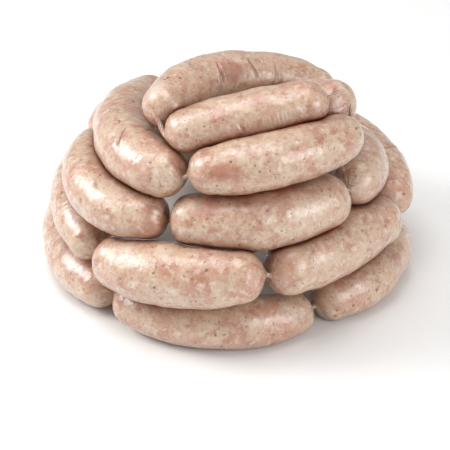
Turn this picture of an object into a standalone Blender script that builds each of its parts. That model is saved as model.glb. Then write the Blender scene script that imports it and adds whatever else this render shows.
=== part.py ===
"""A string of raw pork sausage links, coiled up into a heap that stands on its flat underside.

The string is one casing, filled and twisted into links. It starts with a loose end at the back of
the heap, runs round the bottom turn counter-clockwise as seen from above, climbs turn by turn, and
ends with a loose end on top. Each link is a bent, round-ended body that gives way where it is
pressed against the next one or against the table, and each twist of empty casing is a body too.

Units are metres, +Z is up, and the origin is on the table under the middle of the heap.
"""
import math
from collections import namedtuple

import bmesh
import bpy
import numpy as np

MM = 0.001

# The heap's own axis, as seen from the middle of its footprint.
AXIS_X = 1.5 * MM
AXIS_Y = 5.95 * MM

# Mesh of a link: sides round it, rings along its straight-sided part, rings on each round end.
SIDES = 12
BODY_RINGS = 9
END_RINGS = 3

# Shape of a link's ends: the end ball against the full girth, the length over which the link
# narrows down to it, in girths, and the power of the curve that rounds it off (2 for a plain ball).
END_BALL = 0.86
TAPER_LENGTH = 0.75
END_BLUNTNESS = 2.35

# Clearance between two links that press on each other, and between a link and a twist.
PRESS_GAP = 0.7 * MM
TWIST_GAP = 0.8 * MM
NEAR = 2 * MM

# Balls that stand for a link and for a twist, and halvings in the search for a pressed skin.
LINK_BALLS = 48
TWIST_BALLS = 12
PRESS_STEPS = 22

# Twists of empty casing between two links, and the loose ends.
TWIST_THICKNESS = 3.8 * MM
TWIST_WAIST = 0.75
TWIST_PULL = 0.4
TWIST_STRAIGHT = 8 * MM
TWIST_LONGEST_PULL = 6 * MM
TWIST_SIDES = 6
TWIST_RINGS = 8
TAIL_LENGTH = 9 * MM

# One link of the string. Its middle is given by the azimuth round the heap's axis (0 is +X, and
# it grows counter-clockwise), the distance from that axis and the height. It heads along the turn,
# lifted by pitch and turned outwards by yaw. Its centreline is an arc: bend turns it to the left
# over its whole length, and droop turns its ends down. Millimetres and degrees.
Link = namedtuple("Link", "azimuth distance height length girth pitch yaw bend droop")

STRING = (
    # bottom turn, flat on the table; the fifth link climbs over the first one's start
    Link(-170, 95.5, 14, 114.5, 33, -2, -4, 64, -14),
    Link(-96, 93, 13.5, 119, 30.5, -3, -3, 84, 0),
    Link(-24, 95, 14, 101, 32.5, 2, 5, 80, 9),
    Link(43.5, 89.5, 14.5, 111, 34, 1, -5, 69, 1),
    Link(115.5, 90.5, 28.5, 102, 33.5, 15, 4, 71, -2),
    # second turn
    Link(-175.5, 91, 46, 111.5, 30.5, -1, 2, 59, 21),
    Link(-108, 99, 47, 102, 37.5, 6, 2, 65, 6),
    Link(-46, 86.5, 46, 100.5, 38, -2, -1, 6, -2),
    Link(18.5, 92.5, 50.5, 104.5, 32, 5, -5, 60, 8),
    Link(85, 88, 53.5, 93.5, 34, 3, -3, 70, -10),
    Link(144.5, 79, 67.5, 75, 33.5, 15, -9, 58, -6),
    # third turn, which ends low across the back
    Link(-148.5, 87.5, 72, 104.5, 33, -4, 5, 115, -14),
    Link(-76.5, 80, 74.5, 102.5, 38.5, 3, 2, 61, 3),
    Link(-4.5, 75.5, 70.5, 96.5, 33.5, -5, -17, 92, -17),
    Link(85, 59, 81.5, 97, 34.5, 9, -1, 105, -10),
    # fourth turn, climbing on the left and sinking behind the top on the right
    Link(-160, 65, 96, 134, 34, 4, 13, 108, 8),
    Link(-68, 77.5, 109, 103.5, 31.5, 3, 0, 63, 17),
    Link(-30.5, 29.5, 102.5, 103, 34, -19, -124, 115, -28),
    # top: doubled back behind the last arch, over it from right to left, and forward again
    Link(98, 22.5, 98.5, 102.5, 30, -5, 154, -73, 10),
    Link(-24.5, -1, 120.5, 135.5, 30, 11, -149, 83, 27),
    Link(-79, 51.5, 122, 91.5, 30, 8, -1, -14, -10),
)

# Where the string doubles back, the twist after that link hangs slack: how far its middle is
# drawn aside, in millimetres.
SLACK = {16: (0, 0, 0), 17: (-2, 4, -1), 18: (-2, -2, -4), 19: (5, 0, -3), 20: (1, 3, -5)}

# The loose ends: the way that each leans as it leaves its link.
FIRST_LEAN = (-0.3, 0.5, -1.0)
LAST_LEAN = (0.2, 0.5, 1.0)

SAUSAGE_COLOUR = (0.70, 0.46, 0.36, 1.0)
CASING_COLOUR = (0.80, 0.66, 0.57, 1.0)


class Body:
    """A link or a twist as a chain of balls along its centreline."""

    def __init__(self, centres, radii):
        self.centres = centres
        self.radii = radii

    def outside(self, points):
        """How far each point lies outside the body; negative inside it."""
        apart = np.linalg.norm(points[:, None, :] - self.centres[None, :, :], axis=2)
        return (apart - self.radii).min(axis=1)

    def clear_of(self, other):
        """The least distance between this body's skin and another's."""
        return (self.outside(other.centres) - other.radii).min()


def unit(vector):
    """The vector at length one."""
    return vector / np.linalg.norm(vector)


def arc_at(link, along):
    """Points and headings of a link's centreline at distances along it from its middle."""
    azimuth, yaw, pitch, bend, droop = np.radians(
        [link.azimuth, link.yaw, link.pitch, link.bend, link.droop])
    up = np.array([0.0, 0.0, 1.0])
    outwards = np.array([math.cos(azimuth), math.sin(azimuth), 0.0])
    turnwise = np.cross(up, outwards)
    level = turnwise * math.cos(yaw) + outwards * math.sin(yaw)
    left = np.cross(up, level)
    heading = level * math.cos(pitch) + up * math.sin(pitch)
    above = np.cross(heading, left)
    middle = np.array([AXIS_X, AXIS_Y, link.height * MM]) + outwards * link.distance * MM

    towards_centre = bend * left - droop * above
    radius = link.length * MM / np.linalg.norm(towards_centre)
    side = unit(towards_centre)
    sine = np.sin(along / radius)[:, None]
    cosine = np.cos(along / radius)[:, None]
    points = middle + radius * (sine * heading + (1.0 - cosine) * side)
    return points, cosine * heading + sine * side, left


def last_ball(link):
    """Distance from a link's middle to the centre of the ball at either end, and its radius."""
    radius = link.girth * MM / 2.0 * END_BALL
    return link.length * MM / 2.0 - radius, radius


def radius_at(link, along):
    """A link's radius along it: its full girth, narrowing to the balls at its ends."""
    last, _ = last_ball(link)
    run = TAPER_LENGTH * link.girth * MM
    into = np.clip((np.abs(along) - (last - run)) / run, 0.0, 1.0)
    return link.girth * MM / 2.0 * (1.0 - (1.0 - END_BALL) * into ** 2)


def blunt(forward, across):
    """How much nearer than a blunt end's skin a ball's lies, for a ray's two parts."""
    return (abs(forward) ** END_BLUNTNESS + abs(across) ** END_BLUNTNESS) ** (1.0 / END_BLUNTNESS)


def link_body(link):
    """The chain of balls that fills a link."""
    last, _ = last_ball(link)
    along = np.linspace(-last, last, LINK_BALLS)
    return Body(arc_at(link, along)[0], radius_at(link, along))


def tip(link, end):
    """The point of a link's tip and the way it points; end is -1 at its start and 1 at its end."""
    last, radius = last_ball(link)
    points, headings, _ = arc_at(link, np.array([end * last]))
    return points[0] + headings[0] * end * radius, headings[0] * end


def curve(knots, count):
    """Points along a Bezier curve that runs towards its knots in turn."""
    degree = len(knots) - 1
    t = np.linspace(0.0, 1.0, count)[:, None]
    return sum(math.comb(degree, k) * t ** k * (1.0 - t) ** (degree - k) * knot
               for k, knot in enumerate(knots))


def twist_knots(number):
    """Knots of the twist from the end tip of a link, by its number, to the next one's start tip."""
    start, start_heading = tip(STRING[number - 1], 1)
    finish, finish_heading = tip(STRING[number], -1)
    spare = max(np.linalg.norm(finish - start) - TWIST_STRAIGHT, 0.0)
    pull = min(spare * TWIST_PULL, TWIST_LONGEST_PULL)
    start = start + start_heading * TWIST_GAP
    finish = finish + finish_heading * TWIST_GAP
    middle = (start + finish) / 2.0 + np.array(SLACK.get(number, (0, 0, 0))) * MM
    return [start, start + start_heading * pull, middle, finish + finish_heading * pull, finish]


def tail_knots(link, end, lean):
    """Knots of the loose end of casing at a link's tip."""
    start, heading = tip(link, end)
    start = start + heading * TWIST_GAP
    bend = start + heading * TAIL_LENGTH / 2.0
    return [start, bend, bend + unit(np.array(lean)) * TAIL_LENGTH / 2.0]


def twist_radii(count):
    """A twist's radius along it: widest where it leaves the links, with a waist between."""
    t = np.linspace(-1.0, 1.0, count)
    return TWIST_THICKNESS / 2.0 * (TWIST_WAIST + (1.0 - TWIST_WAIST) * t ** 2)


def twist_body(knots):
    """The chain of balls that fills a twist, cut short of the balls' own reach at both ends."""
    inside = curve(knots, TWIST_BALLS)[1:-1]
    return Body(inside, twist_radii(TWIST_BALLS)[1:-1])


def around(heading, side, count):
    """Directions across a heading, evenly round it, with no one of them straight down."""
    side = unit(side - heading * side.dot(heading))
    cross = np.cross(heading, side)
    angles = [2.0 * math.pi * (k + 0.5) / count for k in range(count)]
    return [side * math.cos(a) + cross * math.sin(a) for a in angles]


def link_rays(link):
    """Rays from a link's centreline to its skin: origins, directions and the free reach of each.

    The first ray goes to the start tip and the last one to the end tip; between them lie the
    rings, SIDES rays each.
    """
    last, ball = last_ball(link)
    along = np.linspace(-last, last, BODY_RINGS)
    points, headings, left = arc_at(link, along)
    reaches = radius_at(link, along)
    slants = [math.pi / 2.0 * k / (END_RINGS + 1) for k in range(1, END_RINGS + 1)]
    rings = [(0, -math.cos(a), math.sin(a)) for a in slants]
    rings += [(k, 0.0, 1.0) for k in range(BODY_RINGS)]
    rings += [(BODY_RINGS - 1, math.cos(a), math.sin(a)) for a in reversed(slants)]

    rays = [(points[0], -headings[0], ball)]
    for station, forward, across in rings:
        reach = reaches[station] / blunt(forward, across)
        for direction in around(headings[station], left, SIDES):
            rays.append((points[station], headings[station] * forward + direction * across, reach))
    rays.append((points[-1], headings[-1], ball))
    return [np.array(column) for column in zip(*rays)]


def pressed(origins, rays, reaches, own, neighbours):
    """How far each ray gets to the skin, which gives way to the neighbours and to the table."""
    near, far = np.zeros(len(rays)), reaches.copy()
    for _ in range(PRESS_STEPS):
        middle = (near + far) / 2.0
        points = origins + rays * middle[:, None]
        room = np.min([body.outside(points) - gap for body, gap in neighbours], axis=0)
        free = own.outside(points) <= room
        near = np.where(free, middle, near)
        far = np.where(free, far, middle)
    down = np.minimum(rays[:, 2], -1e-9)
    return np.minimum(far, origins[:, 2] / -down)


def link_skin(link, own, neighbours):
    """Vertices of a link's pressed skin: its start tip, its rings and its end tip."""
    origins, rays, reaches = link_rays(link)
    distances = pressed(origins, rays, reaches, own, neighbours)
    skin = origins + rays * distances[:, None]
    skin[:, 2] = np.maximum(skin[:, 2], 0.0)
    return skin


def twist_skin(knots):
    """Vertices of a twist: the middle of its first end, its rings and the middle of its last end."""
    points = curve(knots, TWIST_RINGS)
    headings = np.gradient(points, axis=0)
    side = np.array([0.31, 0.22, 0.93])
    vertices = [points[0]]
    for point, heading, radius in zip(points, headings, twist_radii(TWIST_RINGS)):
        heading = unit(heading)
        vertices += [point + direction * radius for direction in around(heading, side, TWIST_SIDES)]
    vertices.append(points[-1])
    return np.array(vertices)


def skin_faces(vertex_count, sides):
    """Faces of a closed skin: a fan at either tip and quads between the rings."""
    rings = (vertex_count - 2) // sides
    faces = []
    for k in range(sides):
        following = (k + 1) % sides
        faces.append((0, 1 + following, 1 + k))
        faces.append((vertex_count - 1, vertex_count - 1 - sides + k, vertex_count - 1 - sides + following))
        for ring in range(rings - 1):
            here, ahead = 1 + ring * sides, 1 + (ring + 1) * sides
            faces.append((here + k, here + following, ahead + following, ahead + k))
    return faces


def make_material(name, colour, roughness):
    """A plain material of one colour."""
    material = bpy.data.materials.new(name)
    material.use_nodes = True
    shader = material.node_tree.nodes["Principled BSDF"]
    shader.inputs["Base Color"].default_value = colour
    shader.inputs["Roughness"].default_value = roughness
    shader.inputs["Metallic"].default_value = 0.0
    return material


def make_object(name, vertices, sides, material):
    """A named object with a closed, triangulated, smooth skin, standing at its own middle."""
    middle = (vertices.min(axis=0) + vertices.max(axis=0)) / 2.0
    mesh = bpy.data.meshes.new(name)
    mesh.from_pydata((vertices - middle).tolist(), [], skin_faces(len(vertices), sides))
    skin = bmesh.new()
    skin.from_mesh(mesh)
    bmesh.ops.triangulate(skin, faces=skin.faces[:])
    skin.to_mesh(mesh)
    skin.free()
    mesh.shade_smooth()
    mesh.materials.append(material)
    made = bpy.data.objects.new(name, mesh)
    made.location = middle
    bpy.context.collection.objects.link(made)
    return made


def build():
    """Makes every link, every twist between two links, and the two loose ends."""
    for old in list(bpy.data.objects):
        bpy.data.objects.remove(old, do_unlink=True)
    sausage = make_material("raw_sausage", SAUSAGE_COLOUR, 0.35)
    casing = make_material("empty_casing", CASING_COLOUR, 0.45)

    twists = {f"twist_{number:02d}": twist_knots(number) for number in range(1, len(STRING))}
    twists["tail_first"] = tail_knots(STRING[0], -1, FIRST_LEAN)
    twists["tail_last"] = tail_knots(STRING[-1], 1, LAST_LEAN)

    links = [link_body(link) for link in STRING]
    empties = [twist_body(knots) for knots in twists.values()]
    for number, link in enumerate(STRING):
        own = links[number]
        neighbours = [(body, PRESS_GAP) for body in links
                      if body is not own and own.clear_of(body) < NEAR]
        neighbours += [(body, TWIST_GAP) for body in empties if own.clear_of(body) < NEAR]
        make_object(f"link_{number + 1:02d}", link_skin(link, own, neighbours), SIDES, sausage)
    for name, knots in twists.items():
        make_object(name, twist_skin(knots), TWIST_SIDES, casing)


build()
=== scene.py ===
"""The looks of a string of raw pork sausage links, coiled up into a heap.

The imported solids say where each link, each twist and each loose end lies. Here every link gets the
skin of a filled natural casing: pressed flat where it meets its neighbours and the table, uneven in
girth, lumpy, creased across its bends and puckered at its ends. Every twist and loose end becomes a
fluted strand of empty casing. Lengths are metres unless a name says otherwise.
"""

import logging
import math
from dataclasses import dataclass
from enum import Enum

import bpy
import numpy as np
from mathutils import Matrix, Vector


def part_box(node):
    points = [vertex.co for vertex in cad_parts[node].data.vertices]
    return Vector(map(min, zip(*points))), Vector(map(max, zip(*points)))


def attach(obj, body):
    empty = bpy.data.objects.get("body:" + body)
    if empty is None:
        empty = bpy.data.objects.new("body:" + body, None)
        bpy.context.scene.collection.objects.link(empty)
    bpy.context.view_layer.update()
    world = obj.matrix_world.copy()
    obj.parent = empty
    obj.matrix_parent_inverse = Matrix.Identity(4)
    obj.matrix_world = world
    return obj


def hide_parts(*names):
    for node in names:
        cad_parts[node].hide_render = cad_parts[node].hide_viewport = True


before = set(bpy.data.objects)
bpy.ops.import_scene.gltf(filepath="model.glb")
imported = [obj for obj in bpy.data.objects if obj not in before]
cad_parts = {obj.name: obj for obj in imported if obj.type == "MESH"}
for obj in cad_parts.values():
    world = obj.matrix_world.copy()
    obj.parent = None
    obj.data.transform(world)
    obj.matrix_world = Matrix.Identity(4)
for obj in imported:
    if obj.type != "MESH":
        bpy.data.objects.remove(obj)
log = logging.getLogger("sausage_links")

MM = 0.001
Array = np.ndarray

# The heap's own axis, as seen from the middle of its footprint.
AXIS_X = 1.5 * MM
AXIS_Y = 5.95 * MM

# Shape of a link's ends: the end ball against the full girth, the length over which the link
# narrows down to it, in girths, and the power of the curve that rounds it off (2 for a plain ball).
END_BALL = 0.86
TAPER_LENGTH = 0.75
END_BLUNTNESS = 2.35


@dataclass(frozen=True)
class Link:
    """One link of the string, in millimetres and degrees.

    Its middle is given by the azimuth round the heap's axis (0 is +X, and it grows
    counter-clockwise), the distance from that axis and the height. It heads along the turn, lifted
    by pitch and turned outwards by yaw. Its centreline is an arc: bend turns it to the left over
    its whole length, and droop turns its ends down.
    """

    azimuth: float
    distance: float
    height: float
    length: float
    girth: float
    pitch: float
    yaw: float
    bend: float
    droop: float


STRING = (
    # bottom turn, flat on the table; the fifth link climbs over the first one's start
    Link(-170, 95.5, 14, 114.5, 33, -2, -4, 64, -14),
    Link(-96, 93, 13.5, 119, 30.5, -3, -3, 84, 0),
    Link(-24, 95, 14, 101, 32.5, 2, 5, 80, 9),
    Link(43.5, 89.5, 14.5, 111, 34, 1, -5, 69, 1),
    Link(115.5, 90.5, 28.5, 102, 33.5, 15, 4, 71, -2),
    # second turn
    Link(-175.5, 91, 46, 111.5, 30.5, -1, 2, 59, 21),
    Link(-108, 99, 47, 102, 37.5, 6, 2, 65, 6),
    Link(-46, 86.5, 46, 100.5, 38, -2, -1, 6, -2),
    Link(18.5, 92.5, 50.5, 104.5, 32, 5, -5, 60, 8),
    Link(85, 88, 53.5, 93.5, 34, 3, -3, 70, -10),
    Link(144.5, 79, 67.5, 75, 33.5, 15, -9, 58, -6),
    # third turn, which ends low across the back
    Link(-148.5, 87.5, 72, 104.5, 33, -4, 5, 115, -14),
    Link(-76.5, 80, 74.5, 102.5, 38.5, 3, 2, 61, 3),
    Link(-4.5, 75.5, 70.5, 96.5, 33.5, -5, -17, 92, -17),
    Link(85, 59, 81.5, 97, 34.5, 9, -1, 105, -10),
    # fourth turn, climbing on the left and sinking behind the top on the right
    Link(-160, 65, 96, 134, 34, 4, 13, 108, 8),
    Link(-68, 77.5, 109, 103.5, 31.5, 3, 0, 63, 17),
    Link(-30.5, 29.5, 102.5, 103, 34, -19, -124, 115, -28),
    # top: doubled back behind the last arch, over it from right to left, and forward again
    Link(98, 22.5, 98.5, 102.5, 30, -5, 154, -73, 10),
    Link(-24.5, -1, 120.5, 135.5, 30, 11, -149, 83, 27),
    Link(-79, 51.5, 122, 91.5, 30, 8, -1, -14, -10),
)

# Twists of empty casing between two links, and the loose ends.
SLACK = {16: (0, 0, 0), 17: (-2, 4, -1), 18: (-2, -2, -4), 19: (5, 0, -3), 20: (1, 3, -5)}
FIRST_LEAN = (-0.3, 0.5, -1.0)
LAST_LEAN = (0.2, 0.5, 1.0)
TAIL_LENGTH = 9 * MM
TWIST_THICKNESS = 3.8 * MM
TWIST_PULL = 0.4
TWIST_STRAIGHT = 8 * MM
TWIST_LONGEST_PULL = 6 * MM


class Tint(Enum):
    """What shows through the casing at a patch; the value is the name of its mask."""

    BLUSH = "blush"
    FAT = "fat"


@dataclass(frozen=True)
class Crease:
    """One fold across a link.

    along is millimetres from the link's middle; around is degrees, 0 on the side that the string
    turns to, 90 on top. spread is how far the fold reaches to either side of that, in degrees,
    and lean is how far it slants along the link over its spread. Depth and width are millimetres.
    """

    along: float
    around: float
    spread: float
    depth: float
    width: float
    lean: float = 0.0


@dataclass(frozen=True)
class Pleats:
    """A field of fine folds across a link; reach is half its length in millimetres."""

    along: float
    around: float
    reach: float
    spread: float
    depth: float
    pitch: float


@dataclass(frozen=True)
class Patch:
    """A patch where redder meat or whiter fat lies under the casing; size is its radius in mm."""

    along: float
    around: float
    size: float
    tint: Tint
    strength: float = 1.0


FEATURES: dict[int, tuple] = {
    1: (Pleats(8, 125, 16, 30, 0.22, 3.1), Patch(31, 132, 8, Tint.FAT, 0.7),
        Patch(50, 150, 12, Tint.BLUSH, 0.5)),
    2: (Patch(43, 135, 10, Tint.FAT, 0.5), Patch(9, 141, 12, Tint.BLUSH, 0.45)),
    3: (Pleats(-37, 133, 9, 22, 0.2, 2.2), Patch(-38, 133, 7, Tint.FAT, 0.3)),
    6: (Pleats(22, 114, 26, 32, 0.30, 3.4), Patch(46, 102, 12, Tint.BLUSH, 0.6)),
    7: (Patch(-24, 108, 8, Tint.FAT, 0.6), Patch(-2, 99, 7, Tint.FAT, 0.6),
        Patch(14, 132, 12, Tint.BLUSH, 0.4)),
    8: (Patch(-46, 60, 12, Tint.BLUSH, 0.5), Patch(-21, 147, 12, Tint.FAT, 0.4)),
    9: (Crease(-12, 114, 50, 0.8, 0.9, 3),),
    12: (Patch(46, 129, 6, Tint.BLUSH, 0.9), Patch(57, 96, 6, Tint.BLUSH, 0.9),
         Patch(50, 128, 3, Tint.FAT, 0.8), Pleats(33, 117, 9, 26, 0.3, 3.4)),
    13: (Patch(-29, 120, 10, Tint.BLUSH, 0.8), Patch(-8, 111, 10, Tint.BLUSH, 0.6),
         Patch(19, 111, 14, Tint.BLUSH, 0.5), Patch(26, 153, 12, Tint.FAT, 0.5)),
    14: (Crease(2, 127, 30, 0.9, 1.0, -8), Patch(-49, 165, 7, Tint.FAT, 0.6)),
    16: (Crease(28, 120, 28, 1.2, 0.9, 4), Crease(32, 60, 30, 0.5, 0.8, 2),
         Pleats(40, 130, 14, 28, 0.25, 3.2), Patch(60, 147, 3.5, Tint.FAT, 0.8),
         Patch(66, 90, 7, Tint.BLUSH), Patch(64, -120, 7, Tint.BLUSH),
         Patch(53, 177, 9, Tint.BLUSH, 0.7), Patch(53, 141, 4, Tint.BLUSH, 0.8)),
    17: (Patch(-33, 150, 9, Tint.BLUSH, 0.9), Patch(-49, 165, 7, Tint.BLUSH, 0.6),
         Patch(-14, 126, 12, Tint.BLUSH, 0.5), Patch(13, 117, 12, Tint.BLUSH, 0.4),
         Pleats(6, 172, 26, 22, 0.16, 2.6)),
    18: (Patch(-56, 48, 6, Tint.BLUSH), Patch(-48, 120, 6, Tint.FAT, 0.6)),
    20: (Crease(16, 33, 42, 1.9, 0.8, -2), Crease(-10, 39, 34, 1.3, 0.8, 3),
         Crease(-26, 33, 26, 0.7, 0.8, 0), Patch(58, 108, 9, Tint.FAT, 0.7),
         Patch(72, 12, 9, Tint.BLUSH), Patch(51, 39, 9, Tint.BLUSH, 0.5),
         Patch(7, 36, 9, Tint.BLUSH, 0.9), Patch(-30, 45, 9, Tint.BLUSH, 0.5)),
    21: (Pleats(-36, -174, 9, 50, 0.4, 2.6), Pleats(12, 170, 22, 22, 0.35, 2.2),
         Crease(-5.5, 174, 20, 0.8, 0.7, 1), Patch(5, 111, 10, Tint.BLUSH, 0.6),
         Patch(28, 114, 9, Tint.BLUSH, 0.4), Patch(-36, -141, 7, Tint.BLUSH),
         Patch(-38, 118, 9, Tint.FAT, 0.6), Patch(20, 168, 8, Tint.FAT, 0.5)),
}


class Body:
    """A link as a chain of balls along its centreline."""

    def __init__(self, centres: Array, radii: Array) -> None:
        """Keeps the balls.

        Args:
            centres: their centres, one row each.
            radii: their radii.
        """
        self.centres = centres.astype(np.float32)
        self.radii = radii.astype(np.float32)

    def part_near(self, other: "Body", reach: float) -> "Body":
        """The balls whose skin comes within reach of another body's."""
        apart = np.linalg.norm(self.centres[:, None] - other.centres[None], axis=2)
        gaps = (apart - self.radii[:, None] - other.radii[None]).min(axis=1)
        return Body(self.centres[gaps < reach], self.radii[gaps < reach])

    def outside(self, points: Array) -> Array:
        """How far each point lies outside the body; negative inside it.

        Args:
            points: places, one row each.

        Returns:
            The distances.
        """
        squares = (points ** 2).sum(1)[:, None] + (self.centres ** 2).sum(1)[None]
        apart = np.sqrt(np.maximum(squares - 2.0 * points @ self.centres.T, 0.0))
        return (apart - self.radii).min(axis=1)


def unit(vector: Array) -> Array:
    """The vector at length one."""
    return vector / np.linalg.norm(vector)


def smooth_step(low: float, high: float, value: Array) -> Array:
    """Rises smoothly from 0 at low to 1 at high."""
    t = np.clip((value - low) / (high - low), 0.0, 1.0)
    return t * t * (3.0 - 2.0 * t)


def turned(degrees: Array) -> Array:
    """Degrees brought into the range from -180 to 180."""
    return (degrees + 180.0) % 360.0 - 180.0


def arc_at(link: Link, along: Array) -> tuple[Array, Array, Array]:
    """The centreline of a link.

    Args:
        link: the link.
        along: distances along the centreline from its middle.

    Returns:
        The points, the headings there, and the level direction to the link's left.
    """
    azimuth, yaw, pitch, bend, droop = np.radians(
        [link.azimuth, link.yaw, link.pitch, link.bend, link.droop])
    up = np.array([0.0, 0.0, 1.0])
    outwards = np.array([math.cos(azimuth), math.sin(azimuth), 0.0])
    turnwise = np.cross(up, outwards)
    level = turnwise * math.cos(yaw) + outwards * math.sin(yaw)
    left = np.cross(up, level)
    heading = level * math.cos(pitch) + up * math.sin(pitch)
    above = np.cross(heading, left)
    middle = np.array([AXIS_X, AXIS_Y, link.height * MM]) + outwards * link.distance * MM

    towards_centre = bend * left - droop * above
    radius = link.length * MM / np.linalg.norm(towards_centre)
    side = unit(towards_centre)
    sine = np.sin(along / radius)[:, None]
    cosine = np.cos(along / radius)[:, None]
    points = middle + radius * (sine * heading + (1.0 - cosine) * side)
    return points, cosine * heading + sine * side, left


def last_ball(link: Link) -> tuple[float, float]:
    """Distance from a link's middle to the centre of the ball at either end, and its radius."""
    radius = link.girth * MM / 2.0 * END_BALL
    return link.length * MM / 2.0 - radius, radius


def radius_at(link: Link, along: Array) -> Array:
    """A link's radius along it: its full girth, narrowing to the balls at its ends."""
    last, _ = last_ball(link)
    run = TAPER_LENGTH * link.girth * MM
    into = np.clip((np.abs(along) - (last - run)) / run, 0.0, 1.0)
    return link.girth * MM / 2.0 * (1.0 - (1.0 - END_BALL) * into ** 2)


def blunt(slant: Array) -> Array:
    """How much further than a ball's skin a blunt end's lies, at slants from across to ahead."""
    parts = np.abs(np.sin(slant)) ** END_BLUNTNESS + np.abs(np.cos(slant)) ** END_BLUNTNESS
    return parts ** (-1.0 / END_BLUNTNESS)


def link_body(link: Link, balls: int = 48) -> Body:
    """The chain of balls that fills a link."""
    last, _ = last_ball(link)
    along = np.linspace(-last, last, balls)
    return Body(arc_at(link, along)[0], radius_at(link, along))


def tip(link: Link, end: int) -> tuple[Array, Array]:
    """The point of a link's tip and the way it points; end is -1 at its start, 1 at its end."""
    last, radius = last_ball(link)
    points, headings, _ = arc_at(link, np.array([end * last]))
    return points[0] + headings[0] * end * radius, headings[0] * end


def curve(knots: list[Array], count: int) -> Array:
    """Points along a Bezier curve that runs towards its knots in turn."""
    degree = len(knots) - 1
    t = np.linspace(0.0, 1.0, count)[:, None]
    return sum(math.comb(degree, k) * t ** k * (1.0 - t) ** (degree - k) * knot
               for k, knot in enumerate(knots))


# ---------------------------------------------------------------------------------------------
# Finishes
# ---------------------------------------------------------------------------------------------


class NodeBoard:
    """A node tree with short calls for the nodes that these finishes and shapes use."""

    def __init__(self, tree: bpy.types.NodeTree) -> None:
        """Keeps the tree."""
        self.tree = tree

    def node(self, kind: str, inputs: dict | None = None, **settings) -> bpy.types.Node:
        """Adds a node.

        Args:
            kind: the node's type.
            inputs: socket name or number to a value, or to the socket that feeds it.
            settings: the node's own properties.

        Returns:
            The node.
        """
        made = self.tree.nodes.new(kind)
        for name, value in settings.items():
            setattr(made, name, value)
        for name, value in (inputs or {}).items():
            if isinstance(value, bpy.types.NodeSocket):
                self.tree.links.new(value, made.inputs[name])
            else:
                made.inputs[name].default_value = value
        return made

    def sum(self, operation: str, first, second=0.0, third=0.0) -> bpy.types.NodeSocket:
        """A Math node's result."""
        return self.node("ShaderNodeMath", {0: first, 1: second, 2: third},
                         operation=operation).outputs[0]

    def step(self, value, low: float, high: float) -> bpy.types.NodeSocket:
        """A smooth rise from 0 at low to 1 at high."""
        return self.node("ShaderNodeMapRange", {"Value": value, "From Min": low, "From Max": high},
                         interpolation_type="SMOOTHSTEP").outputs["Result"]

    def noise(self, vector, scale: float, detail: float = 2.0, rough: float = 0.5,
              warp: float = 0.0) -> bpy.types.NodeSocket:
        """A Noise texture's value."""
        return self.node("ShaderNodeTexNoise",
                         {"Vector": vector, "Scale": scale, "Detail": detail, "Roughness": rough,
                          "Distortion": warp}).outputs[0]

    def cells(self, vector, scale: float, kind: str = "F1") -> bpy.types.Node:
        """A Voronoi texture."""
        return self.node("ShaderNodeTexVoronoi", {"Vector": vector, "Scale": scale}, feature=kind)

    def blend(self, share, under, over, mode: str = "MIX") -> bpy.types.NodeSocket:
        """Two colours mixed by a share."""
        made = self.node("ShaderNodeMix", data_type="RGBA", blend_type=mode)
        for name, value in (("Factor_Float", share), ("A_Color", under), ("B_Color", over)):
            socket = next(s for s in made.inputs if s.identifier == name)
            if isinstance(value, bpy.types.NodeSocket):
                self.tree.links.new(value, socket)
            else:
                socket.default_value = value
        return next(s for s in made.outputs if s.identifier == "Result_Color")

    def attribute(self, name: str) -> bpy.types.NodeSocket:
        """The value of one of the piece's own attributes, in a material."""
        return self.node("ShaderNodeAttribute", attribute_name=name).outputs["Fac"]


Colour = tuple[float, float, float, float]


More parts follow.
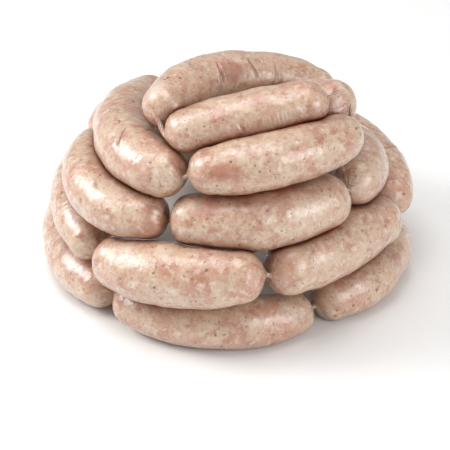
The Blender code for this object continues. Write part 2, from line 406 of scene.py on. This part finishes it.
@dataclass(frozen=True)
class RawSausage:
    """Coarse pork in a thin, wet natural casing."""

    pale: Colour = (0.608, 0.440, 0.312, 1.0)
    meat: Colour = (0.420, 0.182, 0.113, 1.0)
    rosy: Colour = (0.552, 0.315, 0.216, 1.0)
    fat: Colour = (0.770, 0.665, 0.550, 1.0)
    red: Colour = (0.380, 0.125, 0.075, 1.0)
    herb: Colour = (0.095, 0.072, 0.045, 1.0)
    # shaded is the colour multiplied in as painted shade near neighbours, the table and creases.
    shaded: Colour = (0.40, 0.150, 0.078, 1.0)
    roughness: float = 0.33
    wetness: float = 1.0
    wet_roughness: float = 0.24
    translucence: float = 0.12
    depth: float = 2.5 * MM

    def make(self) -> bpy.types.Material:
        """Builds the material."""
        material = bpy.data.materials.new("raw_sausage")
        material.use_nodes = True
        board = NodeBoard(material.node_tree)
        shader = material.node_tree.nodes["Principled BSDF"]
        place = board.node("ShaderNodeTexCoord").outputs["Object"]
        wander = board.node("ShaderNodeTexNoise", {"Vector": place, "Scale": 220.0, "Detail": 2.0})
        bent = board.node("ShaderNodeVectorMath", {0: wander.outputs["Color"], 1: (0.5, 0.5, 0.5)},
                          operation="SUBTRACT").outputs[0]
        bent = board.node("ShaderNodeVectorMath", {0: bent, 1: (0.004, 0.004, 0.004), 2: place},
                          operation="MULTIPLY_ADD").outputs[0]

        broad = board.noise(place, 60.0, 3.0, 0.55, 0.3)
        mottle = board.noise(bent, 135.0, 4.0, 0.62, 0.2)
        medium = board.noise(bent, 340.0, 3.0, 0.60, 0.1)
        colour = board.blend(board.step(broad, 0.42, 0.64), self.pale, self.rosy)
        for value, low, high, most in ((mottle, 0.46, 0.70, 0.85), (medium, 0.48, 0.74, 0.60)):
            share = board.sum("MULTIPLY", board.step(value, low, high), most)
            colour = board.blend(share, colour, self.meat)
        for scale, low, high, most in ((230.0, 0.50, 0.72, 0.60), (620.0, 0.54, 0.76, 0.45)):
            smears = board.step(board.noise(place, scale, 3.0, 0.6, 0.3), low, high)
            colour = board.blend(board.sum("MULTIPLY", smears, most), colour, self.fat)

        colour = self.patches(board, colour, mottle)
        colour = self.specks(board, colour, bent)
        # Painted shade: the skin is darkened towards the shaded colour where it lies near a neighbour, the
        # table or a crease.
        near = board.sum("MULTIPLY", board.attribute("crevice"), 0.95)
        colour = board.blend(near, colour, self.shaded, "MULTIPLY")
        board.tree.links.new(colour, shader.inputs["Base Color"])

        grain = board.sum("MULTIPLY_ADD", board.noise(bent, 420.0, 3.0, 0.6), 0.6,
                          board.sum("MULTIPLY", mottle, 0.9))
        skin = board.node("ShaderNodeBump", {"Height": grain, "Strength": 0.35, "Distance": 0.4 * MM})
        wet = board.sum("MULTIPLY_ADD", board.noise(bent, 300.0, 2.0, 0.5, 1.0), 1.0, grain)
        film = board.node("ShaderNodeBump", {"Height": wet, "Strength": 0.85, "Distance": 0.6 * MM})
        board.tree.links.new(skin.outputs[0], shader.inputs["Normal"])
        board.tree.links.new(film.outputs[0], shader.inputs["Coat Normal"])

        shader.inputs["Roughness"].default_value = self.roughness
        shader.inputs["Specular IOR Level"].default_value = 0.75
        shader.inputs["Coat Weight"].default_value = self.wetness
        shader.inputs["Coat Roughness"].default_value = self.wet_roughness
        shader.inputs["Coat IOR"].default_value = 1.42
        shader.inputs["Subsurface Weight"].default_value = self.translucence
        shader.inputs["Subsurface Radius"].default_value = (1.0, 0.42, 0.25)
        shader.inputs["Subsurface Scale"].default_value = self.depth
        return material

    def patches(self, board: NodeBoard, colour, mottle) -> bpy.types.NodeSocket:
        """Adds the redder and the fattier patches, with broken edges.

        Args:
            board: the material's nodes.
            colour: the colour so far.
            mottle: the noise that breaks the edges.

        Returns:
            The colour with the patches.
        """
        for tint, over, most in ((Tint.BLUSH, self.red, 0.62), (Tint.FAT, self.fat, 0.7)):
            mask = board.sum("ADD", board.attribute(tint.value),
                             board.sum("MULTIPLY_ADD", mottle, 0.9, -0.45))
            mask = board.sum("MULTIPLY", board.step(mask, 0.15, 0.85), most)
            colour = board.blend(mask, colour, over)
        return colour

    def specks(self, board: NodeBoard, colour, place) -> bpy.types.NodeSocket:
        """Adds flecks of herb and pepper.

        Args:
            board: the material's nodes.
            colour: the colour so far.
            place: the coordinates.

        Returns:
            The colour with the flecks.
        """
        sorts = ((110.0, 0.13, 0.25, 0.85), (230.0, 0.20, 0.15, 0.58), (420.0, 0.22, 0.35, 0.50))
        for scale, size, rare, strength in sorts:
            spots = board.cells(place, scale)
            pick = board.node("ShaderNodeSeparateColor", {0: spots.outputs["Color"]}).outputs
            fleck = board.sum("MULTIPLY", board.step(spots.outputs["Distance"], size, size * 0.45),
                              board.step(pick[1], rare, rare + 0.02))
            colour = board.blend(board.sum("MULTIPLY", fleck, strength), colour, self.herb)
        return colour


@dataclass(frozen=True)
class EmptyCasing:
    """Wet, empty, twisted casing: pale and a little translucent, its colours darkened as painted shade for
    the twists that lie between the links.
    """

    # pale and pink are darkened below the casing's own colour to paint the shade the twists lie in.
    pale: Colour = (0.56, 0.40, 0.32, 1.0)
    pink: Colour = (0.40, 0.21, 0.155, 1.0)
    roughness: float = 0.35
    wetness: float = 0.8

    def make(self) -> bpy.types.Material:
        """Builds the material."""
        material = bpy.data.materials.new("empty_casing")
        material.use_nodes = True
        board = NodeBoard(material.node_tree)
        shader = material.node_tree.nodes["Principled BSDF"]
        place = board.node("ShaderNodeTexCoord").outputs["Object"]
        streaks = board.noise(place, 420.0, 3.0, 0.6, 1.0)
        colour = board.blend(board.step(streaks, 0.40, 0.66), self.pale, self.pink)
        board.tree.links.new(colour, shader.inputs["Base Color"])
        bump = board.node("ShaderNodeBump", {"Height": streaks, "Strength": 0.4,
                                             "Distance": 0.3 * MM})
        board.tree.links.new(bump.outputs[0], shader.inputs["Normal"])
        shader.inputs["Roughness"].default_value = self.roughness
        shader.inputs["Coat Weight"].default_value = self.wetness
        shader.inputs["Coat Roughness"].default_value = 0.15
        shader.inputs["Subsurface Weight"].default_value = 0.3
        shader.inputs["Subsurface Radius"].default_value = (1.0, 0.5, 0.35)
        shader.inputs["Subsurface Scale"].default_value = 2.0 * MM
        return material


# ---------------------------------------------------------------------------------------------
# Shapes
# ---------------------------------------------------------------------------------------------


class ShapeTree:
    """A Geometry Nodes tree with named inputs, put on an object and turned into a plain mesh."""

    def __init__(self, name: str) -> None:
        """Starts the tree with its geometry sockets."""
        self.tree = bpy.data.node_groups.new(name, "GeometryNodeTree")
        self.board = NodeBoard(self.tree)
        self.tree.interface.new_socket("Geometry", in_out="OUTPUT", socket_type="NodeSocketGeometry")
        self.tree.interface.new_socket("Geometry", in_out="INPUT", socket_type="NodeSocketGeometry")
        self.identifiers: dict[str, str] = {}
        self.entry: bpy.types.Node | None = None

    def add_inputs(self, **kinds: str) -> None:
        """Adds named inputs, each with its socket type, and the node that brings them in."""
        for name, kind in kinds.items():
            socket = self.tree.interface.new_socket(name, in_out="INPUT", socket_type=kind)
            self.identifiers[name] = socket.identifier
        self.entry = self.tree.nodes.new("NodeGroupInput")

    def named(self, name: str) -> bpy.types.NodeSocket:
        """The socket that brings in a named input."""
        return self.entry.outputs[name]

    def close(self, geometry: bpy.types.NodeSocket) -> None:
        """Ends the tree: smooth shading, realized instances and the finish."""
        board = self.board
        smooth = board.node("GeometryNodeSetShadeSmooth", {"Geometry": geometry}).outputs[0]
        real = board.node("GeometryNodeRealizeInstances", {"Geometry": smooth}).outputs[0]
        done = board.node("GeometryNodeSetMaterial",
                          {"Geometry": real, "Material": self.named("finish")}).outputs[0]
        board.node("NodeGroupOutput", {0: done})

    def shape(self, made: bpy.types.Object, name: str, **values) -> bpy.types.Object:
        """Runs the tree on an object.

        Args:
            made: a mesh or curve object; it is removed afterwards.
            name: the finished piece's name.
            values: the named inputs.

        Returns:
            The finished piece, a plain mesh at the origin.
        """
        modifier = made.modifiers.new(self.tree.name, "NODES")
        modifier.node_group = self.tree
        for key, value in values.items():
            modifier[self.identifiers[key]] = value
        bpy.context.view_layer.update()
        graph = bpy.context.evaluated_depsgraph_get()
        mesh = bpy.data.meshes.new_from_object(made.evaluated_get(graph), depsgraph=graph)
        made.modifiers.remove(modifier)
        bpy.data.objects.remove(made, do_unlink=True)
        mesh.name = name
        piece = bpy.data.objects.new(name, mesh)
        bpy.context.scene.collection.objects.link(piece)
        return piece


def casing_relief() -> ShapeTree:
    """The tree that gives a link's skin its lumps and fine folds."""
    shape = ShapeTree("casing_relief")
    shape.add_inputs(lump_height="NodeSocketFloat", lump_size="NodeSocketFloat",
                     dimple_height="NodeSocketFloat", dimple_size="NodeSocketFloat",
                     fold_height="NodeSocketFloat", fold_pitch="NodeSocketFloat",
                     seed="NodeSocketFloat", finish="NodeSocketMaterial")
    board = shape.board
    place = board.node("GeometryNodeInputPosition").outputs[0]
    free = board.node("GeometryNodeInputNamedAttribute", {"Name": "free"},
                      data_type="FLOAT").outputs[0]
    weave = board.node("GeometryNodeInputNamedAttribute", {"Name": "weave"},
                       data_type="FLOAT_VECTOR").outputs[0]

    def lumps(height: str, size: str, detail: float) -> bpy.types.NodeSocket:
        """Smooth noise of a named height and size, half above the skin and half below it."""
        scale = board.sum("DIVIDE", 1.0, shape.named(size))
        noise = board.node("ShaderNodeTexNoise",
                           {"Vector": place, "W": shape.named("seed"), "Scale": scale,
                            "Detail": detail}, noise_dimensions="4D").outputs[0]
        return board.sum("MULTIPLY", board.sum("SUBTRACT", noise, 0.5), shape.named(height))

    rise = board.sum("ADD", lumps("lump_height", "lump_size", 1.0),
                     lumps("dimple_height", "dimple_size", 1.0))
    pace = board.sum("DIVIDE", 1.0, shape.named("fold_pitch"))
    stretch = board.node("ShaderNodeCombineXYZ", {0: pace, 1: 1.6, 2: 1.6}).outputs[0]
    laid = board.node("ShaderNodeVectorMath", {0: weave, 1: stretch}, operation="MULTIPLY").outputs[0]
    folds = board.node("ShaderNodeTexNoise",
                       {"Vector": laid, "W": shape.named("seed"), "Scale": 1.0, "Detail": 1.0},
                       noise_dimensions="4D").outputs[0]
    ridge = board.sum("ABSOLUTE", board.sum("SUBTRACT", folds, 0.5))
    where = board.node("ShaderNodeTexNoise",
                       {"Vector": place, "W": shape.named("seed"), "Scale": 38.0, "Detail": 0.0},
                       noise_dimensions="4D").outputs[0]
    where = board.step(where, 0.48, 0.62)
    fold = board.sum("MULTIPLY", board.sum("MULTIPLY", ridge, where), shape.named("fold_height"))
    rise = board.sum("MULTIPLY", board.sum("SUBTRACT", rise, fold), free)
    normal = board.node("GeometryNodeInputNormal").outputs[0]
    offset = board.node("ShaderNodeVectorMath", {0: normal, "Scale": rise}, operation="SCALE").outputs[0]
    moved = board.node("GeometryNodeSetPosition",
                       {"Geometry": shape.named("Geometry"), "Offset": offset}).outputs[0]
    shape.close(moved)
    return shape


@dataclass
class LinkSkin:
    """One link's skin: a fine grid of rays from its centreline, pressed, creased and dressed."""

    number: int
    link: Link
    sides: int = 112
    ring_pitch: float = 0.8 * MM
    cap_rings: int = 22
    skin_gap: float = 0.16 * MM
    edge_blend: float = 0.45 * MM
    reach_past: float = 1.2
    press_steps: int = 11
    unevenness: float = 0.024
    sag: float = 0.025
    pucker_height: float = 0.38 * MM
    pucker_reach: float = 5.5 * MM
    pucker_count: int = 13
    nipple: float = 1.3 * MM
    # How far the painted shade near neighbours and the table reaches.
    crevice_reach: float = 3.8 * MM

    def name(self) -> str:
        """The link's CAD node."""
        return f"link_{self.number:02d}"

    def rays(self) -> None:
        """Lays out the rings: origins, ray directions, free reach, and each ring's own place."""
        last, ball = last_ball(self.link)
        body = np.linspace(-last, last, int(2.0 * last / self.ring_pitch))
        slants = np.linspace(0.0, math.pi / 2.0, self.cap_rings + 2)[1:-1]
        stations = np.concatenate([np.full(len(slants), -last), body, np.full(len(slants), last)])
        tilt = np.concatenate([-slants[::-1], np.zeros(len(body)), slants])
        points, headings, level = arc_at(self.link, stations)
        left = level - headings * (headings @ level)[:, None]
        left /= np.linalg.norm(left, axis=1)[:, None]
        above = np.cross(headings, left)
        self.angles = np.linspace(0.0, 2.0 * math.pi, self.sides, endpoint=False)
        across = (left[:, None] * np.cos(self.angles)[None, :, None]
                  + above[:, None] * np.sin(self.angles)[None, :, None])
        self.directions = (headings[:, None] * np.sin(tilt)[:, None, None]
                           + across * np.cos(tilt)[:, None, None])
        self.origins = np.repeat(points[:, None], self.sides, axis=1)
        self.tilt = tilt
        self.profile = stations + np.sign(tilt) * ball * np.abs(tilt)
        self.tip_distance = last + ball * math.pi / 2.0 - np.abs(self.profile)
        self.reaches = self.free_reach(stations)

    def free_reach(self, stations: Array) -> Array:
        """How far the skin stands from the centreline where nothing presses on it.

        Args:
            stations: the rings' distances along the centreline.

        Returns:
            The reach of each ray, one row for each ring.
        """
        dice = np.random.default_rng(700 + self.number)
        swell = np.zeros(len(self.profile))
        for wave in (62.0 * MM, 34.0 * MM, 21.0 * MM):
            swell += np.sin(2.0 * math.pi * (self.profile / wave + dice.random())) * dice.uniform(0.3, 1.0)
        swell *= self.unevenness / 2.0
        turn, twist = dice.random() * math.pi, dice.uniform(-12.0, 12.0)
        lobes = np.cos(2.0 * (self.angles[None] - turn) + twist * self.profile[:, None])
        squat = -np.abs(np.sin(self.angles))[None] * self.sag
        ease = np.cos(self.tilt)[:, None]
        factor = 1.0 + (swell[:, None] + lobes * self.unevenness * 0.5 + squat) * ease
        tipward = np.exp(-(self.tip_distance / (2.6 * MM)) ** 2)[:, None] * self.nipple
        return (radius_at(self.link, stations) * blunt(self.tilt))[:, None] * factor + tipward

    def press(self, others: list[Body]) -> None:
        """Finds where each ray ends: at its free reach, or halfway to a neighbour, or on the table, and
        paints shade on the skin near neighbours and the table.

        Args:
            others: the other links' bodies.
        """
        own = link_body(self.link)
        near = [other.part_near(own, 9.0 * MM) for other in others]
        near = [other for other in near if len(other.radii)]
        crowd = Body(np.vstack([b.centres for b in near]), np.concatenate([b.radii for b in near]))
        origins = self.origins.reshape(-1, 3).astype(np.float32)
        rays = self.directions.reshape(-1, 3).astype(np.float32)
        free = self.reaches.reshape(-1).astype(np.float32)
        low, high = np.zeros_like(free), free * self.reach_past
        for _ in range(self.press_steps):
            middle = (low + high) / 2.0
            room = crowd.outside(origins + rays * middle[:, None]) - self.skin_gap
            clear = middle - free <= room
            low = np.where(clear, middle, low)
            high = np.where(clear, high, middle)
        down = np.minimum(rays[:, 2], -1e-6)
        meets = np.minimum(high, origins[:, 2] / -down)
        sharp = 1.0 / self.edge_blend
        nearer = np.minimum(free, meets)
        both = np.exp(-(free - nearer) * sharp) + np.exp(-(meets - nearer) * sharp)
        length = nearer - np.log(both) / sharp
        self.lengths = length.reshape(self.reaches.shape)
        self.free = smooth_step(0.2 * MM, 2.2 * MM, (meets - length)).reshape(self.reaches.shape)
        skin = origins + rays * length[:, None]
        # Painted shade: the skin darkens the nearer it lies to a neighbour or the table.
        gap = np.maximum(np.minimum(crowd.outside(skin), skin[:, 2] * 1.6 + 0.001 * MM), 0.0)
        self.crevice = np.exp(-gap / self.crevice_reach).reshape(self.reaches.shape)

    def relief(self) -> Array:
        """Creases, fields of pleats, and the puckers that gather the casing at either tip; the creases
        also deepen the painted shade.

        Returns:
            How far each point of the skin moves along its ray.
        """
        dice = np.random.default_rng(300 + self.number)
        along, around = self.profile[:, None] / MM, np.degrees(self.angles)[None]
        rise = np.zeros((len(self.profile), self.sides))
        for feature in FEATURES.get(self.number, ()):
            off = turned(around - feature.around)
            if isinstance(feature, Crease):
                wobble = feature.lean * off / feature.spread + 0.5 * np.sin(off / 11.0)
                across = (along - feature.along - wobble) / feature.width
                window = smooth_step(1.0, 0.35, np.abs(off) / feature.spread)
                fold = window * np.exp(-np.abs(across) ** 1.3)
                rise -= feature.depth * MM * fold
                # Painted shade in the fold of each crease.
                self.crevice = np.maximum(self.crevice, fold * min(feature.depth, 1.0))
                rise += 0.3 * feature.depth * MM * window * np.exp(-((np.abs(across) - 2.6) / 1.6) ** 2)
            elif isinstance(feature, Pleats):
                window = (smooth_step(1.0, 0.3, np.abs(off) / feature.spread)
                          * smooth_step(1.0, 0.3, np.abs(along - feature.along) / feature.reach))
                phase = 2.0 * math.pi * along / feature.pitch
                phase = phase + 1.3 * np.sin(along / 5.0 + off / 19.0) + 0.9 * np.sin(off / 13.0)
                rise += feature.depth * MM * window * (np.abs(np.cos(phase / 2.0)) - 0.6)
        for end in (-1, 1):
            here = np.sign(self.profile) == end
            fade = np.exp(-self.tip_distance / self.pucker_reach) * smooth_step(
                0.0, 2.0 * MM, self.tip_distance) * here
            count = self.pucker_count + dice.integers(-2, 3)
            slip = dice.random(3) * 2.0 * math.pi
            flute = np.cos(count * self.angles[None] + slip[0] + 1.1 * np.sin(
                2.0 * self.angles[None] + slip[1]) + 60.0 * self.tip_distance[:, None])
            uneven = 0.65 + 0.35 * np.sin(3.0 * self.angles[None] + slip[2])
            rise += self.pucker_height * fade[:, None] * uneven * (0.5 * flute - 0.25)
        return rise

    def tinted(self, tint: Tint) -> Array:
        """The mask of a tint's patches over the skin."""
        _, ball = last_ball(self.link)
        along, around = self.profile[:, None] / MM, np.degrees(self.angles)[None]
        mask = np.zeros((len(self.profile), self.sides))
        for feature in FEATURES.get(self.number, ()):
            if isinstance(feature, Patch) and feature.tint is tint:
                arc = np.radians(turned(around - feature.around)) * ball * 1.2 / MM
                away = np.hypot(along - feature.along, arc) / feature.size
                mask = np.maximum(mask, feature.strength * np.exp(-away ** 2))
        return mask

    def mesh(self) -> bpy.types.Mesh:
        """The pressed and creased skin, closed at both tips, with its masks."""
        lengths = self.lengths + self.relief() * self.free
        skin = self.origins + self.directions * lengths[..., None]
        skin[..., 2] = np.maximum(skin[..., 2], 0.0)
        rings, sides = skin.shape[:2]
        first, last = skin[0].mean(axis=0), skin[-1].mean(axis=0)
        vertices = np.vstack([first, skin.reshape(-1, 3), last])

        k = np.arange(sides)
        following = (k + 1) % sides
        start = 1 + np.arange(rings - 1)[:, None] * sides
        quads = np.stack([start + k, start + following, start + sides + following, start + sides + k],
                         axis=2).reshape(-1, 4)
        fans = [(0, 1 + int(b), 1 + int(a)) for a, b in zip(k, following)]
        base, tip_index = 1 + (rings - 1) * sides, len(vertices) - 1
        fans += [(tip_index, base + int(a), base + int(b)) for a, b in zip(k, following)]
        mesh = bpy.data.meshes.new(self.name() + "_skin")
        mesh.from_pydata(vertices.tolist(), [], quads.tolist() + fans)

        for name, values in (("free", self.free), ("crevice", self.crevice),
                             (Tint.BLUSH.value, self.tinted(Tint.BLUSH)),
                             (Tint.FAT.value, self.tinted(Tint.FAT))):
            spread = np.concatenate([[values[0].mean()], values.reshape(-1), [values[-1].mean()]])
            made = mesh.attributes.new(name, "FLOAT", "POINT")
            made.data.foreach_set("value", spread.astype(np.float32))
        weave = np.stack([np.repeat(self.profile[:, None], sides, axis=1),
                          np.repeat(np.cos(self.angles)[None], rings, axis=0),
                          np.repeat(np.sin(self.angles)[None], rings, axis=0)], axis=2)
        weave = np.vstack([weave[0, 0], weave.reshape(-1, 3), weave[-1, 0]])
        made = mesh.attributes.new("weave", "FLOAT_VECTOR", "POINT")
        made.data.foreach_set("vector", weave.astype(np.float32).reshape(-1))
        return mesh

    def build(self, others: list[Body], shape: ShapeTree, finish: bpy.types.Material) -> bpy.types.Object:
        """Makes the dressed link.

        Args:
            others: the other links' bodies.
            shape: the tree that adds lumps and folds.
            finish: the sausage finish.

        Returns:
            The finished piece.
        """
        self.rays()
        self.press(others)
        rough = bpy.data.objects.new(self.name() + "_rough", self.mesh())
        bpy.context.scene.collection.objects.link(rough)
        piece = shape.shape(rough, self.name() + "_dressed", lump_height=1.5 * MM, lump_size=17.0 * MM,
                            dimple_height=0.42 * MM, dimple_size=5.0 * MM, fold_height=0.55 * MM,
                            fold_pitch=3.0 * MM, seed=1.7 * self.number, finish=finish)
        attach(piece, "root")
        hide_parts(self.name())
        log.info("%s: %d faces, in %s", piece.name, len(piece.data.polygons), self.name())
        return piece


def fluted_strand() -> ShapeTree:
    """The tree that sweeps a fluted, twisted strand of casing along a curve."""
    shape = ShapeTree("fluted_strand")
    shape.add_inputs(thickness="NodeSocketFloat", flutes="NodeSocketFloat",
                     flute_depth="NodeSocketFloat", turns="NodeSocketFloat",
                     ruffle="NodeSocketFloat", seed="NodeSocketFloat", finish="NodeSocketMaterial")
    board = shape.board
    circle = board.node("GeometryNodeCurvePrimitiveCircle",
                        {"Resolution": 40, "Radius": board.sum("DIVIDE", shape.named("thickness"), 2.0)})
    share = board.node("GeometryNodeSplineParameter").outputs["Factor"]
    angle = board.sum("MULTIPLY", board.sum("MULTIPLY", share, 2.0 * math.pi), shape.named("flutes"))
    wave = board.sum("MULTIPLY", board.sum("SINE", angle), shape.named("flute_depth"))
    place = board.node("GeometryNodeInputPosition").outputs[0]
    grown = board.node("ShaderNodeVectorMath", {0: place, "Scale": board.sum("ADD", wave, 1.0)},
                       operation="SCALE").outputs[0]
    profile = board.node("GeometryNodeSetPosition",
                         {"Geometry": circle.outputs[0], "Position": grown}).outputs[0]
    path = board.node("GeometryNodeSetCurveTilt",
                      {"Curve": shape.named("Geometry"),
                       "Tilt": board.sum("MULTIPLY", share, board.sum(
                           "MULTIPLY", shape.named("turns"), 2.0 * math.pi))}).outputs[0]
    sweep = board.node("GeometryNodeCurveToMesh", {"Curve": path, "Profile Curve": profile,
                                                   "Fill Caps": True})
    if "Scale" in sweep.inputs:
        radius = board.node("GeometryNodeInputRadius").outputs[0]
        board.tree.links.new(radius, sweep.inputs["Scale"])
    noise = board.node("ShaderNodeTexNoise",
                       {"Vector": place, "W": shape.named("seed"), "Scale": 420.0, "Detail": 2.0},
                       noise_dimensions="4D").outputs[0]
    rise = board.sum("MULTIPLY", board.sum("SUBTRACT", noise, 0.5), shape.named("ruffle"))
    normal = board.node("GeometryNodeInputNormal").outputs[0]
    offset = board.node("ShaderNodeVectorMath", {0: normal, "Scale": rise}, operation="SCALE").outputs[0]
    moved = board.node("GeometryNodeSetPosition", {"Geometry": sweep.outputs[0], "Offset": offset})
    shape.close(moved.outputs[0])
    return shape


@dataclass
class Strand:
    """A twist between two links, or a loose end."""

    node: str
    knots: list
    loose: bool = False
    points: int = 40
    waist: float = 0.62
    root: float = 1.15
    frayed: float = 1.0
    turns: float = 1.4
    flutes: int = 5

    def radii(self) -> Array:
        """The strand's radius along it against half its thickness: a waist, and wider roots."""
        t = np.linspace(-1.0, 1.0, self.points)
        radii = self.waist + (self.root - self.waist) * np.abs(t) ** 3
        if self.loose:
            radii = np.where(t > 0.0, self.waist + (self.frayed - self.waist) * t ** 2, radii)
        return radii

    def build(self, seed: int, shape: ShapeTree, finish: bpy.types.Material) -> bpy.types.Object:
        """Makes the dressed strand.

        Args:
            seed: the number that its ruffles come from.
            shape: the tree that sweeps it.
            finish: the casing finish.

        Returns:
            The finished piece.
        """
        line = bpy.data.curves.new(self.node + "_line", "CURVE")
        line.dimensions = "3D"
        spline = line.splines.new("POLY")
        spline.points.add(self.points - 1)
        for point, place, radius in zip(spline.points, curve(self.knots, self.points), self.radii()):
            point.co = (*place, 1.0)
            point.radius = radius
        rough = bpy.data.objects.new(self.node + "_rough", line)
        bpy.context.scene.collection.objects.link(rough)
        piece = shape.shape(rough, self.node + "_dressed", thickness=TWIST_THICKNESS,
                            flutes=float(self.flutes), flute_depth=0.16, turns=self.turns,
                            ruffle=0.5 * MM, seed=0.9 * seed, finish=finish)
        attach(piece, "root")
        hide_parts(self.node)
        log.info("%s: %d faces, in %s", piece.name, len(piece.data.polygons), self.node)
        return piece


class SausageString:
    """The whole string: its links, its twists and its two loose ends."""

    root_depth: float = 1.4 * MM

    def __init__(self) -> None:
        """Works out the links' bodies once, for all to press against."""
        self.bodies = [link_body(link) for link in STRING]

    def twist_knots(self, number: int) -> list:
        """Knots of the twist after a link, rooted in the tips of that link and the next."""
        start, start_heading = tip(STRING[number - 1], 1)
        finish, finish_heading = tip(STRING[number], -1)
        spare = max(np.linalg.norm(finish - start) - TWIST_STRAIGHT, 0.0)
        pull = min(spare * TWIST_PULL, TWIST_LONGEST_PULL)
        middle = (start + finish) / 2.0 + np.array(SLACK.get(number, (0, 0, 0))) * MM
        root = start - start_heading * self.root_depth
        end = finish - finish_heading * self.root_depth
        return [root, start + start_heading * pull, middle, finish + finish_heading * pull, end]

    def tail_knots(self, link: Link, end: int, lean: tuple) -> list:
        """Knots of the loose end at a link's tip."""
        start, heading = tip(link, end)
        bend = start + heading * TAIL_LENGTH / 2.0
        return [start - heading * self.root_depth, bend, bend + unit(np.array(lean)) * TAIL_LENGTH / 2.0]

    def strands(self) -> list[Strand]:
        """Every twist and both loose ends."""
        made = [Strand(f"twist_{number:02d}", self.twist_knots(number))
                for number in range(1, len(STRING))]
        made.append(Strand("tail_first", self.tail_knots(STRING[0], -1, FIRST_LEAN), loose=True))
        made.append(Strand("tail_last", self.tail_knots(STRING[-1], 1, LAST_LEAN), loose=True))
        return made

    def build(self) -> None:
        """Makes every piece and logs how far each link lies from its solid."""
        sausage, casing = RawSausage().make(), EmptyCasing().make()
        relief, sweep = casing_relief(), fluted_strand()
        for number, link in enumerate(STRING, start=1):
            others = [body for body in self.bodies if body is not self.bodies[number - 1]]
            piece = LinkSkin(number, link).build(others, relief, sausage)
            self.report_offset(piece, f"link_{number:02d}")
        for seed, strand in enumerate(self.strands(), start=1):
            strand.build(seed, sweep, casing)

    def report_offset(self, piece: bpy.types.Object, node: str) -> None:
        """Logs how far a piece's middle lies from its solid's."""
        low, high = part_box(node)
        corners = np.array([v.co for v in piece.data.vertices])
        middle = Vector((corners.min(axis=0) + corners.max(axis=0)) / 2.0)
        log.info("  %s is %.2f mm off its solid's middle", node, (middle - (low + high) / 2.0).length / MM)


# ---------------------------------------------------------------------------------------------
# Stage
# ---------------------------------------------------------------------------------------------


@dataclass(frozen=True)
class SoftLight:
    """A square soft light, by where it stands from the heap's middle."""

    name: str
    place: tuple[float, float, float]
    side: float
    watts: float
    colour: tuple[float, float, float] = (1.0, 1.0, 1.0)

    def build(self) -> None:
        """Places the light and aims it at the heap."""
        lamp = bpy.data.lights.new(self.name, "AREA")
        lamp.shape = "SQUARE"
        lamp.size = self.side
        lamp.energy = self.watts
        lamp.color = self.colour
        made = bpy.data.objects.new(self.name, lamp)
        made.location = self.place
        towards = Vector((0.0, 0.0, 0.07)) - made.location
        made.rotation_euler = towards.to_track_quat("-Z", "Y").to_euler()
        bpy.context.scene.collection.objects.link(made)


@dataclass(frozen=True)
class Stage:
    """The pale floor, the soft studio light and the camera."""

    floor_side: float = 8.0
    floor_colour: Colour = (0.90, 0.90, 0.895, 1.0)
    sky: float = 0.38
    target: tuple[float, float, float] = (-0.55 * MM, 15.9 * MM, 12.6 * MM)
    camera_distance: float = 1.0
    elevation: float = 32.93
    lens: float = 129.65

    def build(self) -> None:
        """Builds the floor, the world, the lights and the camera."""
        self.floor()
        world = bpy.data.worlds.new("studio")
        world.use_nodes = True
        world.node_tree.nodes["Background"].inputs["Color"].default_value = (1.0, 1.0, 1.0, 1.0)
        world.node_tree.nodes["Background"].inputs["Strength"].default_value = self.sky
        bpy.context.scene.world = world
        for light in (SoftLight("window", (-1.10, 0.10, 0.75), 0.60, 12.5),
                      SoftLight("overhead", (-0.20, -0.05, 1.50), 0.90, 10.5),
                      SoftLight("fill", (0.95, -0.85, 0.60), 0.70, 8.0)):
            light.build()
        self.camera()
        bpy.context.scene.view_settings.view_transform = "Standard"

    def floor(self) -> None:
        """A plain pale floor at the height the heap rests on."""
        half = self.floor_side / 2.0
        mesh = bpy.data.meshes.new("floor")
        mesh.from_pydata([(-half, -half, 0.0), (half, -half, 0.0), (half, half, 0.0),
                          (-half, half, 0.0)], [], [(0, 1, 2, 3)])
        material = bpy.data.materials.new("pale_floor")
        material.use_nodes = True
        shader = material.node_tree.nodes["Principled BSDF"]
        shader.inputs["Base Color"].default_value = self.floor_colour
        shader.inputs["Roughness"].default_value = 0.8
        mesh.materials.append(material)
        floor = bpy.data.objects.new("floor", mesh)
        floor.location.z = -0.02 * MM
        bpy.context.scene.collection.objects.link(floor)

    def camera(self) -> None:
        """A long lens in front of the heap, looking down on it."""
        rise = math.radians(self.elevation)
        back = Vector((0.0, -math.cos(rise), math.sin(rise)))
        lens = bpy.data.cameras.new("camera")
        lens.lens = self.lens
        lens.sensor_width = 36.0
        made = bpy.data.objects.new("camera", lens)
        made.location = Vector(self.target) + back * self.camera_distance
        made.rotation_euler = back.to_track_quat("Z", "Y").to_euler()
        bpy.context.scene.collection.objects.link(made)
        bpy.context.scene.camera = made


def main() -> None:
    logging.basicConfig(level=logging.INFO, format="%(message)s")
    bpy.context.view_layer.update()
    SausageString().build()
    Stage().build()


if __name__ == "__main__":
    main()
